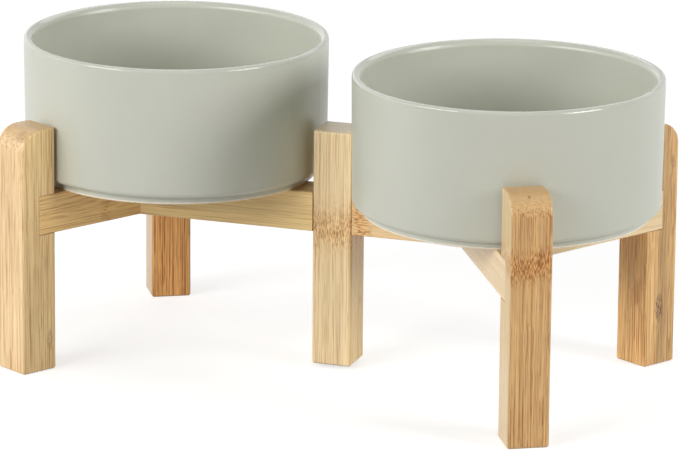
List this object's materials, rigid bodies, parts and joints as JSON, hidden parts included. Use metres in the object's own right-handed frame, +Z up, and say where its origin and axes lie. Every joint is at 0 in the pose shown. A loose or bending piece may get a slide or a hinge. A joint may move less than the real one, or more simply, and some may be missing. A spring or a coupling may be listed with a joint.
{
  "type": "raised twin pet feeder",
  "caption": "Raised double pet feeder: straight-walled glazed bowls, each resting on a pinwheel of bamboo arms, on a shared stand of square bamboo legs; the bowls lift out.",
  "frame": {"origin": "on the floor under the axis of the middle leg, midway between the bowls", "axes": "+Z up, +X from the left bowl to the right bowl along the middle arms, +Y to the rear"},
  "size_m": [0.3246, 0.2046, 0.1555],
  "materials": {
    "bowl_glaze": "satin sage-grey glaze, bare cream clay under the foot",
    "bamboo_leg": "laminated bamboo, clear satin lacquer",
    "bamboo_arm": "laminated bamboo, clear satin lacquer",
    "dowel_wood": "plain hardwood dowel, glued"
  },
  "bodies": {
    "stand": {"middle_leg": "bamboo_leg", "front_left_leg": "bamboo_leg", "rear_left_leg": "bamboo_leg", "front_right_leg": "bamboo_leg", "rear_right_leg": "bamboo_leg", "left_middle_arm": "bamboo_arm", "left_front_arm": "bamboo_arm", "left_rear_arm": "bamboo_arm", "right_middle_arm": "bamboo_arm", "right_front_arm": "bamboo_arm", "right_rear_arm": "bamboo_arm", "middle_leg_dowels": "dowel_wood", "left_hub_dowels": "dowel_wood", "right_hub_dowels": "dowel_wood", "front_left_leg_dowels": "dowel_wood", "rear_left_leg_dowels": "dowel_wood", "front_right_leg_dowels": "dowel_wood", "rear_right_leg_dowels": "dowel_wood"},
    "left_bowl": {"left_bowl": "bowl_glaze"},
    "right_bowl": {"right_bowl": "bowl_glaze"}
  },
  "joints": [
    {"name": "left_bowl_lift", "type": "slide", "parent": "stand", "child": "left_bowl", "axis": [0, 0, 1], "range_m": [0, 0.08]},
    {"name": "right_bowl_lift", "type": "slide", "parent": "stand", "child": "right_bowl", "axis": [0, 0, 1], "range_m": [0, 0.08]}
  ]
}
